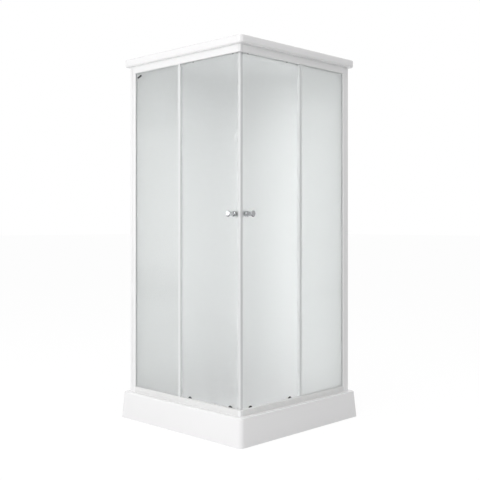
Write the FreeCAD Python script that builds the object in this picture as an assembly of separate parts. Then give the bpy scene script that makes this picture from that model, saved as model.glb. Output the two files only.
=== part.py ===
import FreeCAD, Part
import math
import os

os.makedirs("parts", exist_ok=True)

# Square corner-entry shower cabin. Sizes are in millimetres, Z is up, and the origin is on the floor
# under the centre of the tray. The two glazed sides face -Y (the left side) and +X (the right side)
# and meet at the near corner. Only the left side is drawn: the right side is its mirror image in the
# upright plane through the near corner and the back corner.
# On a glazed side, s runs along the frame from the near corner and t runs inwards from its outer face.

# ---- The cabin ----
cabin_height = 1900.0
tray_width = 900.0           # over the foot of the skirt, and the same both ways
tray_height = 135.0
frame_inset = 39.0           # from the foot of the skirt to the frame's outer face
roof_height = 38.0
roof_overhang = 25.0

# ---- Tray ----
skirt_flare = 10.5           # how far each side leans in between foot and rim
tray_corner_radius = 25.0
tray_edge_radius = 6.0
tray_skin = 4.0
rim_margin = 6.0             # between the rail's inner face and the basin
basin_edge_radius = 4.0
basin_depth = 60.0           # from the rim to the edge of the floor
basin_lean = 12.0            # how far each basin wall leans in
basin_corner_radius = 60.0
basin_foot_radius = 16.0     # the round between basin wall and floor
floor_fall = 7.0             # from the edge of the floor to the waste
floor_corner_angle = 24.0    # degrees of the waste's rim that each rounded corner of the floor runs to
board_thickness = 8.0        # the stiffening board moulded in under the waste

# ---- Waste, trap and outlet ----
waste_offset = 170.0         # from the centre towards the back corner, along each side
waste_bore_radius = 45.0     # the common 90 mm hole
waste_flange_radius = 57.0
waste_flange_thickness = 2.5
waste_flange_chamfer = 1.0
waste_recess_gap = 0.5
throat_radius = 43.0
throat_wall = 3.0
throat_length = 20.0
cover_radius = 52.0
cover_thickness = 2.5
cover_rise = 4.0             # crown of the cover
cover_gap = 4.0              # height of the gap that the water runs through
cover_windows = 6
trap_radius = 50.0
trap_wall = 3.0
trap_ground_gap = 8.0
trap_flange_radius = 56.0
trap_flange_thickness = 4.0
trap_thread_gap = 0.5
outlet_radius = 20.0
outlet_wall = 3.0
outlet_length = 52.0         # of the straight spigot that the pipe goes on
outlet_collar_radius = 22.0
outlet_taper = 8.0           # from the trap's wall to the start of the straight spigot
outlet_axis_height = 30.0
pipe_notch_width = 60.0
pipe_notch_height = 62.0

# ---- Beams and feet under the tray ----
beam_width = 30.0
beam_height = 25.0
beam_wall = 2.0
beam_spacing = 580.0
beam_length = 800.0
cross_beam_offset = -60.0
foot_end_distance = 60.0     # from the end of a beam to its foot
foot_pad_radius = 22.0
foot_pad_height = 7.0
foot_stud_radius = 6.0
foot_stud_gap = 0.4
foot_stud_reach = 14.0       # how far the stud goes up into the beam
foot_nut_height = 8.0
foot_nut_across_flats = 19.0

# ---- Rails and headers: aluminium extrusions ----
rail_depth = 44.0
rail_height = 28.0
rail_inner_height = 12.0
header_height = 35.0
wall = 1.6                   # wall of every extruded track
groove_near = 5.0            # the glazing groove lies between these two distances
groove_far = 15.0
groove_lip = 4.0
edge_round = 2.0
track_rib_distance = 35.5    # from the outer face to the middle of the rib that the wheels run on
track_rib_width = 2.0
bottom_rib_height = 15.0
header_rib_height = 3.0
filler_gap = 0.1
filler_leg = 12.0
filler_thickness = 1.5

# ---- Corner connectors ----
connector_reach = 17.0       # what shows of the connector on each side of the corner
connector_floor = 4.0
tongue_width = 5.6
tongue_height = 20.0
tongue_reach = 60.0

# ---- Posts ----
stile_face = 39.0            # from the end of the side to the stile's glass edge
wall_profile_face = 17.0
wall_profile_depth = 30.0
post_wall = 1.5
post_play = 0.3              # between the stile and the wall profile that it slides into
glazing_bite = 12.0          # how far the pane goes into the stile
stile_groove_depth = 14.5
post_screw_heights = (400.0, 1000.0, 1600.0)
post_screw_edge = 5.0        # from the wall profile's open edge to its screws
screw_radius = 1.9
screw_hole_gap = 0.1
screw_head_radius = 3.8
screw_head_height = 2.4
screw_head_edge = 0.8        # height of the head's rim under its dome
screw_length = 6.0

# ---- Panes ----
glass_thickness = 5.0
fixed_glass_distance = 7.5   # from the frame's outer face to the fixed pane
door_glass_distance = 22.0   # from the frame's outer face to the door
fixed_edge = 430.0           # from the near corner to the fixed pane's free edge
fixed_glass_foot = 4.0       # the pane stands this high in the rail
fixed_glass_head = 6.0       # and stops this far short of the header's top
gasket_lip = 2.5
door_foot_gap = 6.0          # from the rim up to the door's lower edge
door_head_gap = 10.0         # from the header's top down to the door's upper edge

# ---- Seals ----
fixed_seal_cover = 14.0
fixed_seal_wall = 2.0
fin_thickness = 1.5
fin_gap = 0.3                # between a fin and the glass that it wipes
fin_end_gap = 13.0           # the fins stop this far from rail and header, so that the rollers pass
rear_seal_cover = 10.0
rear_seal_wall = 1.2
rear_fin_setback = 7.5       # from the door's rear edge to the fin
rear_fin_gap = 0.9           # between that fin and the fixed pane
magnet_gap = 0.4             # between the two magnets when the doors are shut
edge_profile_width = 13.5
edge_profile_wall = 1.5
edge_profile_bite = 5.0
edge_profile_inset = 2.0     # from the ends of the door glass
magnet_thickness = 2.0
magnet_cover = 0.8
magnet_fit = 0.1

# ---- Doors ----
door_overlap = 25.0          # how far the door reaches behind the fixed pane
door_travel = 318.0
top_front_roller = 72.0      # from the near corner
top_rear_roller = 349.0
bottom_front_roller = 88.0
bottom_rear_roller = 371.0

# ---- Rollers ----
wheel_radius = 9.5
wheel_width = 6.0
wheel_groove_depth = 1.5
wheel_groove_floor = 1.35    # half widths of the groove, at its floor and at its mouth
wheel_groove_mouth = 2.0
wheel_edge = 0.5
track_gap = 0.3              # between the wheel's groove and the rib
axle_radius = 3.0
axle_gap = 0.05
axle_collar_radius = 4.7
axle_flange_radius = 9.0
axle_boss_radius = 4.5
axle_boss_length = 0.9
axle_head_radius = 5.5
axle_head_length = 2.3
axle_end_play = 0.2
glass_hole_radius = 5.0
cap_radius = 12.0
cap_thickness = 4.6
cap_skin = 1.0
cap_stub_gap = 0.2           # between the end of the axle and the cap's skin
cap_round = 2.5

# ---- Stops ----
stop_length = 12.0
stop_width = 7.0
stop_height = 18.0
stop_gap = 0.5
stop_slot_gap = 0.1

# ---- Knobs ----
knob_distance = 58.0         # from the near corner
knob_height = 1075.0
knob_washer = 1.0
knob_length = 49.0
knob_base_radius = 13.0
knob_base_length = 11.5
knob_neck_radius = 9.0
knob_neck_length = 5.0
knob_waist_radius = 10.8
knob_tip_radius = 15.5
knob_tip_round = 3.0
knob_hollow = 1.6            # how far the body's side bows in between waist and tip
knob_chamfer = 1.0
knob_crown = 1.5
knob_stud_radius = 4.0
knob_stud_gap = 0.1
knob_stud_end_gap = 1.0      # the stud stops this far short of the bottom of each bore
knob_stud_depth = 12.0
inner_knob_radius = 15.0
inner_knob_length = 12.0
inner_knob_round = 3.0
inner_knob_taper = 6.0       # how far the taper from its foot runs
inner_stud_depth = 7.0
knob_hole_radius = 5.5

# ---- Clip on the left fixed pane ----
clip_distance = 30.0         # from the stile to the middle of the clip
clip_drop = 22.0             # from the header to the middle of the clip
clip_length = 34.0
clip_height = 10.0
clip_thickness = 2.8
clip_pin_radius = 4.0
clip_pin_gap = 0.3
clip_tilt = 18.0             # degrees, up towards the near corner

# ---- Back walls ----
back_panel_thickness = 5.0
channel_wall = 1.5
channel_play = 0.2
channel_height = 20.0
back_corner_width = 28.0
back_corner_round = 10.0
back_corner_wall = 2.0
back_panel_bite = 10.0
slot_play = 0.1

# ---- Roof ----
roof_skin = 4.0
roof_corner_radius = 22.0
roof_edge_radius = 7.0
roof_foot_radius = 2.0
liner_thickness = 3.0
liner_gap = 0.3
rib_pitch = 180.0
roof_rib_thickness = 4.0

# ---- Sizes that follow from these ----
foot_half = tray_width / 2
rim_half = foot_half - skirt_flare
frame_half = foot_half - frame_inset
side = 2 * frame_half
rim = tray_height
frame_top = cabin_height - roof_height
header_foot = frame_top - header_height
rail_top = rim + rail_height
basin_half = frame_half - rail_depth - rim_margin
floor_half = basin_half - basin_lean
floor_edge = rim - basin_depth
floor_low = floor_edge - floor_fall
underside = floor_low - board_thickness
stile_edge = side - stile_face
door_inner = door_glass_distance + glass_thickness
fixed_inner = fixed_glass_distance + glass_thickness
door_front = edge_profile_width + door_glass_distance - edge_profile_bite
door_rear = fixed_edge + door_overlap
door_foot = rim + door_foot_gap
door_head = frame_top - door_head_gap
running_radius = wheel_radius - wheel_groove_depth
bottom_axle = rim + bottom_rib_height + track_gap + running_radius
top_axle = header_foot + header_rib_height + track_gap + running_radius
waste_centre = (-waste_offset, waste_offset)
beam_foot = underside - beam_height

Vector = FreeCAD.Vector
PAST = 1.0                   # how far a cutting shape runs past the piece that it cuts
UP = Vector(0, 0, 1)
MIRROR_NORMAL = Vector(1, 1, 0)


# ---- Ways of drawing on a glazed side ----
def place(s, t, z):
    """The point of the left side at s along the frame and t inwards from its outer face."""
    return Vector(frame_half - s, t - frame_half, z)


def mirrored(shape):
    """The same piece of the right side."""
    return shape.mirror(Vector(0, 0, 0), MIRROR_NORMAL)


def face_of(points, put):
    """A flat face. A pair is a corner, and four numbers are an arc's middle point and its end."""
    edges = []
    start = previous = put(*points[0])
    for point in points[1:]:
        end = put(*point[-2:])
        if len(point) == 4:
            edges.append(Part.Arc(previous, put(*point[:2]), end).toShape())
        else:
            edges.append(Part.makeLine(previous, end))
        previous = end
    if not previous.isEqual(start, 1e-6):
        edges.append(Part.makeLine(previous, start))
    return Part.Face(Part.Wire(edges))


def rail_bar(points, s_start, s_end):
    """A bar along the side. Its section is drawn in t and height."""
    section = face_of(points, lambda t, z: place(s_start, t, z))
    return section.extrude(place(s_end, 0, 0) - place(s_start, 0, 0))


def upright(points, z_start, z_end):
    """An upright bar. Its section is drawn in s and t."""
    return face_of(points, lambda s, t: place(s, t, z_start)).extrude(Vector(0, 0, z_end - z_start))


def turned(points, s, z):
    """A round piece whose axis crosses the side at s and z. Its profile is drawn in t and radius."""
    section = face_of(points, lambda t, radius: place(s, t, z + radius))
    return section.revolve(place(s, 0, z), Vector(0, 1, 0), 360)


def crown(radius, rise):
    """The point half way up a spherical crown: its distance from the axis and its depth below the top."""
    sphere = (radius ** 2 + rise ** 2) / (2 * rise)
    half_angle = math.asin(radius / sphere) / 2
    return sphere * math.sin(half_angle), sphere * (1 - math.cos(half_angle))


def slab(s_start, s_end, t_start, t_end, z_start, z_end):
    corner = place(s_end, t_start, z_start)
    return Part.makeBox(s_end - s_start, t_end - t_start, z_end - z_start, corner)


def drill(s, z, t_start, t_end, radius):
    return Part.makeCylinder(radius, t_end - t_start, place(s, t_start, z), Vector(0, 1, 0))


def between_mitres(lower, upper):
    """The upright prism between two planes at 45 degrees, each given by its s on the outer face."""
    near, far = -PAST, rail_depth + PAST
    corners = [(near + lower, near), (near + upper, near), (far + upper, far), (far + lower, far)]
    return upright(corners, 0, cabin_height)


# ---- Ways of drawing the mouldings ----
def rounded_square(half, radius, z, centre=(0, 0)):
    """A level square outline with an arc at each corner."""
    flat = half - radius
    bend = flat + radius * math.sqrt(0.5)
    middle = Vector(centre[0], centre[1], z)
    edges = []
    for quarter in range(4):
        turn = FreeCAD.Rotation(UP, 90 * quarter)
        start, end, through, after = (
            turn.multVec(Vector(x, y, 0)) + middle
            for x, y in ((half, -flat), (half, flat), (bend, bend), (flat, half))
        )
        edges.append(Part.makeLine(start, end))
        edges.append(Part.Arc(end, through, after).toShape())
    return Part.Wire(edges)


def eight_arc_circle(radius, z, centre, corner_angle):
    """A circle of four long and four short arcs, to be lofted to a rounded square."""
    edges = []
    for quarter in range(4):
        angles = [90 * quarter - 45 + corner_angle / 2, 90 * quarter, 90 * quarter + 45 - corner_angle / 2,
                  90 * quarter + 45, 90 * quarter + 45 + corner_angle / 2]
        ring = [Vector(centre[0] + radius * math.cos(math.radians(angle)),
                       centre[1] + radius * math.sin(math.radians(angle)), z) for angle in angles]
        edges.append(Part.Arc(ring[0], ring[1], ring[2]).toShape())
        edges.append(Part.Arc(ring[2], ring[3], ring[4]).toShape())
    return Part.Wire(edges)


def level_edges(shape, z):
    """The edges of a shape that lie at one height."""
    return [edge for edge in shape.Edges
            if abs(edge.BoundBox.ZMin - z) < 1e-4 and abs(edge.BoundBox.ZMax - z) < 1e-4]


def revolved(points, centre):
    """A round piece about an upright axis. Its profile is drawn in radius and height."""
    section = face_of(points, lambda radius, z: Vector(centre[0] + radius, centre[1], z))
    return section.revolve(Vector(centre[0], centre[1], 0), UP, 360)


def post(radius, z_start, z_end, centre):
    return Part.makeCylinder(radius, z_end - z_start, Vector(centre[0], centre[1], z_start), UP)


# ---- Tray ----
def make_basin():
    """The space in the tray: leaning walls, a rounded foot and a floor that falls to the waste."""
    waste_radius = waste_flange_radius + waste_recess_gap
    walls = Part.makeLoft([rounded_square(basin_half, basin_corner_radius, rim),
                           rounded_square(floor_half, basin_corner_radius, floor_edge)], True, True)
    walls = walls.makeFillet(basin_foot_radius, level_edges(walls, floor_edge))
    flat_half = floor_half - basin_foot_radius
    floor = Part.makeLoft([rounded_square(flat_half, basin_corner_radius - basin_foot_radius, floor_edge),
                           eight_arc_circle(waste_radius, floor_low, waste_centre, floor_corner_angle)],
                          True, True)
    return walls.fuse(floor)


def make_tray():
    outside = Part.makeLoft([rounded_square(foot_half, tray_corner_radius, 0),
                             rounded_square(rim_half, tray_corner_radius, rim)], True, True)
    outside = outside.makeFillet(tray_edge_radius, level_edges(outside, rim))
    inner_radius = tray_corner_radius - tray_skin
    inside = Part.makeLoft([rounded_square(foot_half - tray_skin, inner_radius, 0),
                            rounded_square(rim_half - tray_skin, inner_radius, rim - tray_skin)], True, True)
    pan = Part.makeLoft([
        rounded_square(basin_half + tray_skin, basin_corner_radius + tray_skin, rim - tray_skin / 2),
        rounded_square(floor_half + tray_skin, basin_corner_radius + tray_skin, underside),
    ], True, True)
    tray = outside.cut(inside).fuse(pan).cut(make_basin())
    mouth = [edge for edge in level_edges(tray, rim) if edge.BoundBox.XMax < basin_half + 1e-3
             and edge.BoundBox.YMax < basin_half + 1e-3 and edge.BoundBox.XMin > -basin_half - 1e-3
             and edge.BoundBox.YMin > -basin_half - 1e-3]
    tray = tray.makeFillet(basin_edge_radius, mouth)
    recess_radius = waste_flange_radius + waste_recess_gap
    tray = tray.cut(post(recess_radius, floor_low - waste_flange_thickness, floor_low + PAST, waste_centre))
    tray = tray.cut(post(waste_bore_radius, underside - PAST, floor_low, waste_centre))
    notch = Part.makeBox(pipe_notch_width, foot_half, pipe_notch_height + PAST,
                         Vector(waste_centre[0] - pipe_notch_width / 2, floor_half + 2 * tray_skin, -PAST))
    upper = [edge for edge in level_edges(notch, pipe_notch_height) if edge.BoundBox.YLength > 1]
    return tray.cut(notch.makeFillet(pipe_notch_width / 4, upper))


# ---- Beams and feet ----
def box_beam(start, along, length):
    """A box tube that runs from start along X or Y, with its lower face at the start's height."""
    across = Vector(along.y, along.x, 0)
    outer = Part.makePolygon([start - across * (beam_width / 2), start + across * (beam_width / 2),
                              start + across * (beam_width / 2) + UP * beam_height,
                              start - across * (beam_width / 2) + UP * beam_height,
                              start - across * (beam_width / 2)])
    low = start + UP * beam_wall
    high = start + UP * (beam_height - beam_wall)
    half = across * (beam_width / 2 - beam_wall)
    inner = Part.makePolygon([low - half, low + half, high + half, high - half, low - half])
    return Part.Face(outer).cut(Part.Face(inner)).extrude(along * length)


def foot_places():
    reach = beam_length / 2 - foot_end_distance
    corners = [(x * beam_spacing / 2, y * reach) for x in (-1, 1) for y in (-1, 1)]
    return corners + [(0, cross_beam_offset)]


def make_beams():
    beams = [box_beam(Vector(x * beam_spacing / 2, -beam_length / 2, beam_foot), Vector(0, 1, 0), beam_length)
             for x in (-1, 1)]
    gap = beam_spacing - beam_width
    beams.append(box_beam(Vector(-gap / 2, cross_beam_offset, beam_foot), Vector(1, 0, 0), gap))
    for centre in foot_places():
        hole = post(foot_stud_radius + foot_stud_gap, beam_foot - PAST, beam_foot + beam_wall + PAST, centre)
        beams = [beam.cut(hole) for beam in beams]
    return beams


def make_foot(centre):
    """A pad, its stud and the lock nut that bears on the beam."""
    top = beam_foot + foot_stud_reach
    nut_foot = beam_foot - foot_nut_height
    shoulder = foot_pad_height + foot_stud_radius
    pad = revolved([(0, 0), (foot_pad_radius, 0), (foot_pad_radius, foot_pad_height / 2),
                    (foot_pad_radius - foot_pad_height / 2, foot_pad_height),
                    (2 * foot_stud_radius, foot_pad_height), (foot_stud_radius, shoulder),
                    (foot_stud_radius, top), (0, top)], centre)
    across_corners = foot_nut_across_flats / math.sqrt(3)
    corners = [Vector(centre[0] + across_corners * math.cos(math.radians(60 * turn)),
                      centre[1] + across_corners * math.sin(math.radians(60 * turn)), nut_foot)
               for turn in range(7)]
    nut = Part.Face(Part.makePolygon(corners)).extrude(UP * foot_nut_height)
    return pad.fuse(nut).removeSplitter()


# ---- Waste ----
def make_waste_flange():
    top = floor_low
    inner = throat_radius - throat_wall
    low = underside - throat_length
    return revolved([(inner, low), (throat_radius, low), (throat_radius, top - waste_flange_thickness),
                     (waste_flange_radius, top - waste_flange_thickness),
                     (waste_flange_radius, top - waste_flange_chamfer),
                     (waste_flange_radius - waste_flange_chamfer, top), (inner, top)], waste_centre)


def make_waste_cover():
    """A crowned plate on a slotted ring that drops into the waste's throat."""
    under = floor_low + cover_gap
    ring = throat_radius - throat_wall - waste_recess_gap
    low = floor_low - throat_length / 2
    edge = under + cover_thickness / 2
    top = under + cover_thickness + cover_rise
    middle, drop = crown(cover_radius, top - edge)
    cover = revolved([(0, under), (ring - cover_thickness, under), (ring - cover_thickness, low), (ring, low),
                      (ring, floor_low), (ring + cover_thickness, floor_low), (ring + cover_thickness, under),
                      (cover_radius, under), (cover_radius, edge), (middle, top - drop, 0, top)],
                     waste_centre)
    width = math.pi * ring / cover_windows
    for window in range(cover_windows):
        opening = Part.makeBox(cover_radius, width, under - low - 2 * cover_thickness,
                               Vector(0, -width / 2, low + 2 * cover_thickness))
        opening.rotate(Vector(0, 0, 0), UP, 360 / cover_windows * window)
        opening.translate(Vector(waste_centre[0], waste_centre[1], 0))
        cover = cover.cut(opening)
    return cover


def make_trap():
    """A flat bottle trap, clamped up under the tray, with its outlet towards the back."""
    low = trap_ground_gap
    shoulder = underside - 2 * trap_flange_thickness
    bore = throat_radius + trap_thread_gap
    inner = trap_radius - trap_wall
    body = revolved([(0, low), (trap_radius, low), (trap_radius, shoulder),
                     (trap_flange_radius, underside - trap_flange_thickness), (trap_flange_radius, underside),
                     (0, underside)], waste_centre)
    hollow = revolved([(0, low + trap_wall), (inner, low + trap_wall), (inner, shoulder - trap_wall),
                       (bore, shoulder), (bore, underside + PAST), (0, underside + PAST)], waste_centre)
    root = inner - 2 * trap_wall
    straight = trap_radius + outlet_taper
    end = straight + outlet_length
    profile = [(root, 0), (root, outlet_collar_radius), (trap_radius, outlet_collar_radius),
               (straight, outlet_radius), (end, outlet_radius), (end, 0)]
    axis = Vector(waste_centre[0], waste_centre[1], outlet_axis_height)
    spigot = face_of(profile, lambda reach, radius: axis + Vector(0, reach, radius))
    spigot = spigot.revolve(axis, Vector(0, 1, 0), 360)
    bore_through = Part.makeCylinder(outlet_radius - outlet_wall, end - root + PAST,
                                     axis + Vector(0, root, 0), Vector(0, 1, 0))
    return body.fuse(spigot).cut(hollow).cut(bore_through)


# ---- Rails, headers and corners ----
def rail_section():
    """The bottom rail: glazing groove outside, door channel inside, and the rib that the wheels run on."""
    rib_near = track_rib_distance - track_rib_width / 2
    rib_far = track_rib_distance + track_rib_width / 2
    shoulder = rim + bottom_rib_height - track_rib_width / 2
    bend = edge_round * (1 - math.sqrt(0.5))
    return [(0, rim), (rail_depth, rim), (rail_depth, rim + rail_inner_height),
            (rail_depth - wall, rim + rail_inner_height), (rail_depth - wall, rim + wall),
            (rib_far, rim + wall), (rib_far, shoulder),
            (track_rib_distance, rim + bottom_rib_height, rib_near, shoulder), (rib_near, rim + wall),
            (groove_far + wall, rim + wall), (groove_far + wall, rail_top), (groove_far, rail_top),
            (groove_far, rim + wall), (wall, rim + wall), (wall, rail_top - groove_lip),
            (groove_near, rail_top - groove_lip), (groove_near, rail_top), (edge_round, rail_top),
            (bend, rail_top - bend, 0, rail_top - edge_round)]


def header_section():
    """The header: glazing groove outside, and a ledge with the rib that carries the doors inside."""
    rib_near = track_rib_distance - track_rib_width / 2
    rib_far = track_rib_distance + track_rib_width / 2
    shoulder = header_foot + header_rib_height - track_rib_width / 2
    bend = edge_round * (1 - math.sqrt(0.5))
    roof_side = frame_top - wall
    return [(edge_round, header_foot), (groove_near, header_foot), (groove_near, header_foot + groove_lip),
            (wall, header_foot + groove_lip), (wall, roof_side), (groove_far, roof_side),
            (groove_far, header_foot), (groove_far + wall, header_foot), (groove_far + wall, roof_side),
            (rail_depth - wall, roof_side), (rail_depth - wall, header_foot + wall),
            (rib_far, header_foot + wall), (rib_far, shoulder),
            (track_rib_distance, header_foot + header_rib_height, rib_near, shoulder),
            (rib_near, header_foot), (rail_depth, header_foot), (rail_depth, frame_top), (0, frame_top),
            (0, header_foot + edge_round), (bend, header_foot + bend, edge_round, header_foot)]


def make_rail():
    return rail_bar(rail_section(), 0, stile_edge).common(between_mitres(connector_reach, side))


def make_header():
    return rail_bar(header_section(), 0, stile_edge).common(between_mitres(connector_reach, side))


def connector_arm(points, tongue_foot):
    """Half of a corner connector: the arm in one rail's line, with the tongue that enters its groove."""
    arm = rail_bar(points, 0, rail_depth + connector_reach).common(between_mitres(0, connector_reach))
    middle = (groove_near + groove_far) / 2
    tongue = slab(connector_reach + groove_near, tongue_reach, middle - tongue_width / 2,
                  middle + tongue_width / 2, tongue_foot, tongue_foot + tongue_height)
    return arm.fuse(tongue)


def make_bottom_corner():
    bend = edge_round * (1 - math.sqrt(0.5))
    arm = connector_arm([(0, rim), (rail_depth, rim), (rail_depth, rim + rail_inner_height),
                         (rail_depth - connector_floor, rim + rail_inner_height),
                         (rail_depth - connector_floor, rim + connector_floor),
                         (groove_far + wall, rim + connector_floor), (groove_far + wall, rail_top),
                         (edge_round, rail_top), (bend, rail_top - bend, 0, rail_top - edge_round)],
                        rim + wall)
    return arm.fuse(mirrored(arm)).removeSplitter()


def make_top_corner():
    bend = edge_round * (1 - math.sqrt(0.5))
    arm = connector_arm([(0, frame_top), (0, header_foot + edge_round),
                         (bend, header_foot + bend, edge_round, header_foot),
                         (groove_far + wall, header_foot), (groove_far + wall, frame_top - connector_floor),
                         (rail_depth - connector_floor, frame_top - connector_floor),
                         (rail_depth - connector_floor, header_foot), (rail_depth, header_foot),
                         (rail_depth, frame_top)],
                        frame_top - wall - tongue_height)
    return arm.fuse(mirrored(arm)).removeSplitter()


def make_fillers():
    """The clip-in strips that close the glazing groove where there is no fixed pane."""
    near, far = groove_near + filler_gap, groove_far - filler_gap
    start = connector_reach + groove_far
    strips = []
    for face, inwards in ((rail_top, -1), (header_foot, 1)):
        skin = face + inwards * filler_thickness
        leg = face + inwards * filler_leg
        strips.append(rail_bar([(near, face), (far, face), (far, leg), (far - filler_thickness, leg),
                                (far - filler_thickness, skin), (near + filler_thickness, skin),
                                (near + filler_thickness, leg), (near, leg)], start, fixed_edge))
    return strips


# ---- Posts ----
def screw_distance():
    """Where the post's screws are, along the side: just behind the wall profile's open edge."""
    return side - wall_profile_face + post_screw_edge


def drill_post(shape):
    for height in post_screw_heights:
        shape = shape.cut(drill(screw_distance(), height, wall_profile_depth / 2, wall_profile_depth + PAST,
                                screw_radius + screw_hole_gap))
    return shape


def make_wall_profile():
    start = side - wall_profile_face
    inner = wall_profile_depth - post_wall
    channel = upright([(start, 0), (side, 0), (side, wall_profile_depth), (start, wall_profile_depth),
                       (start, inner), (side - post_wall, inner), (side - post_wall, post_wall),
                       (start, post_wall)], rim, frame_top)
    return drill_post(channel)


def make_stile():
    """The hollow upright that slides in the wall profile and holds the pane's edge in its groove."""
    near = post_wall + post_play
    far = wall_profile_depth - near
    end = side - post_wall - 2 * post_play - post_wall
    groove_end = stile_edge + stile_groove_depth
    body = upright([(stile_edge, near), (end, near), (end, far), (stile_edge, far)], rim, frame_top)
    groove = upright([(stile_edge - PAST, groove_near), (groove_end, groove_near), (groove_end, groove_far),
                      (stile_edge - PAST, groove_far)], rim - PAST, frame_top + PAST)
    front = groove_end + post_wall
    main = upright([(front, near + post_wall), (end - post_wall, near + post_wall),
                    (end - post_wall, far - post_wall), (front, far - post_wall)],
                   rim - PAST, frame_top + PAST)
    behind = upright([(stile_edge + post_wall, groove_far + post_wall), (groove_end, groove_far + post_wall),
                      (groove_end, far - post_wall), (stile_edge + post_wall, far - post_wall)],
                     rim - PAST, frame_top + PAST)
    return drill_post(body.cut(groove).cut(main).cut(behind))


def make_post_screws():
    screws = []
    for height in post_screw_heights:
        seat = wall_profile_depth
        head_top = seat + screw_head_height
        middle, drop = crown(screw_head_radius, screw_head_height - screw_head_edge)
        screws.append(turned([(seat - screw_length, 0), (seat - screw_length, screw_radius),
                              (seat, screw_radius), (seat, screw_head_radius),
                              (seat + screw_head_edge, screw_head_radius),
                              (head_top - drop, middle, head_top, 0)],
                             screw_distance(), height))
    return screws


# ---- Fixed pane, its rubber and its seal ----
def fixed_pane_block():
    return slab(fixed_edge, stile_edge + glazing_bite, fixed_glass_distance, fixed_inner,
                rim + fixed_glass_foot, frame_top - fixed_glass_head)


def clip_place():
    return stile_edge - clip_distance, header_foot - clip_drop


def make_fixed_glass(drilled):
    pane = fixed_pane_block()
    if drilled:
        s, z = clip_place()
        pane = pane.cut(drill(s, z, 0, door_glass_distance, clip_pin_radius + clip_pin_gap))
    return pane


def make_gasket():
    """One length of glazing rubber along the foot, the stile and the head of the pane."""
    outer = slab(fixed_edge, stile_edge + stile_groove_depth, groove_near, groove_far,
                 rim + wall, frame_top - wall)
    window = slab(fixed_edge - PAST, stile_edge - gasket_lip, 0, rail_depth,
                  rail_top + gasket_lip, header_foot - gasket_lip)
    return outer.cut(window).cut(fixed_pane_block())


def make_fixed_seal():
    """A clear channel on the pane's free edge, with a fin that wipes the door."""
    near = fixed_glass_distance - fixed_seal_wall
    far = fixed_inner + fixed_seal_wall
    front = fixed_edge - fixed_seal_wall
    back = fixed_edge + fixed_seal_cover
    channel = upright([(front, near), (back, near), (back, fixed_glass_distance),
                       (fixed_edge, fixed_glass_distance), (fixed_edge, fixed_inner), (back, fixed_inner),
                       (back, far), (front, far)], rail_top + gasket_lip, header_foot - gasket_lip)
    fin = upright([(front, far), (front + fin_thickness, far),
                   (front + 2 * fin_thickness, door_glass_distance - fin_gap),
                   (front + fin_thickness, door_glass_distance - fin_gap)],
                  rail_top + fin_end_gap, header_foot - fin_end_gap)
    return channel.fuse(fin).removeSplitter()


def make_clip():
    """A small dark button that holds the head of the left pane, turned a little on its pin."""
    s, z = clip_place()
    near = fixed_glass_distance - clip_thickness
    end = clip_height / 2
    straight = clip_length / 2 - end
    plate = face_of([(s - straight, z - end), (s + straight, z - end),
                     (s + clip_length / 2, z, s + straight, z + end), (s - straight, z + end),
                     (s - clip_length / 2, z, s - straight, z - end)],
                    lambda along, height: place(along, near, height))
    plate = plate.extrude(Vector(0, clip_thickness, 0))
    plate.rotate(place(s, near, z), Vector(0, 1, 0), -clip_tilt)
    pin = drill(s, z, near + clip_thickness / 2, fixed_inner - clip_pin_gap, clip_pin_radius)
    return plate.fuse(pin).removeSplitter()


# ---- Stops ----
def make_stop():
    """A block in the header's track that the rear wheel meets when the door is open."""
    start = top_rear_roller + door_travel + wheel_radius + stop_gap
    ledge = header_foot + wall
    near = track_rib_distance - stop_width / 2
    far = track_rib_distance + stop_width / 2
    rib_near = track_rib_distance - track_rib_width / 2 - stop_slot_gap
    rib_far = track_rib_distance + track_rib_width / 2 + stop_slot_gap
    slot = header_foot + header_rib_height + stop_slot_gap
    return rail_bar([(near, ledge), (rib_near, ledge), (rib_near, slot), (rib_far, slot), (rib_far, ledge),
                     (far, ledge), (far, ledge + stop_height), (near, ledge + stop_height)],
                    start, start + stop_length)


# ---- Doors ----
def roller_places():
    """The four rollers of a door: name, distance along the side and axle height."""
    return (("top_front", top_front_roller, top_axle),
            ("top_rear", top_rear_roller, top_axle),
            ("bottom_front", bottom_front_roller, bottom_axle),
            ("bottom_rear", bottom_rear_roller, bottom_axle))


def make_door_glass():
    pane = slab(door_front, door_rear, door_glass_distance, door_inner, door_foot, door_head)
    for name, s, z in roller_places():
        pane = pane.cut(drill(s, z, 0, rail_depth, glass_hole_radius))
    return pane.cut(drill(knob_distance, knob_height, 0, rail_depth, knob_hole_radius))


def magnet_outline(grow):
    """The magnet's section beside the mitre, made larger all round by grow."""
    outer = magnet_cover + magnet_gap / 2
    near = door_glass_distance + edge_profile_wall / 2 - grow
    far = door_inner - edge_profile_wall / 2 + grow
    return [(near + outer - grow, near), (near + outer + magnet_thickness + grow, near),
            (far + outer + magnet_thickness + grow, far), (far + outer - grow, far)]


def make_edge_profile():
    """The door's front edge: it grips the glass and carries the magnet behind a mitred face."""
    near = door_glass_distance - edge_profile_wall
    far = door_inner + edge_profile_wall
    mitre = magnet_gap / 2
    back = door_front + edge_profile_bite
    foot, head = door_foot + edge_profile_inset, door_head - edge_profile_inset
    body = upright([(near + mitre, near), (back, near), (back, door_glass_distance),
                    (door_front, door_glass_distance), (door_front, door_inner), (back, door_inner),
                    (back, far), (far + mitre, far)], foot, head)
    return body.cut(upright(magnet_outline(magnet_fit), foot - PAST, head + PAST))


def make_magnet():
    return upright(magnet_outline(0), door_foot + edge_profile_inset, door_head - edge_profile_inset)


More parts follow.
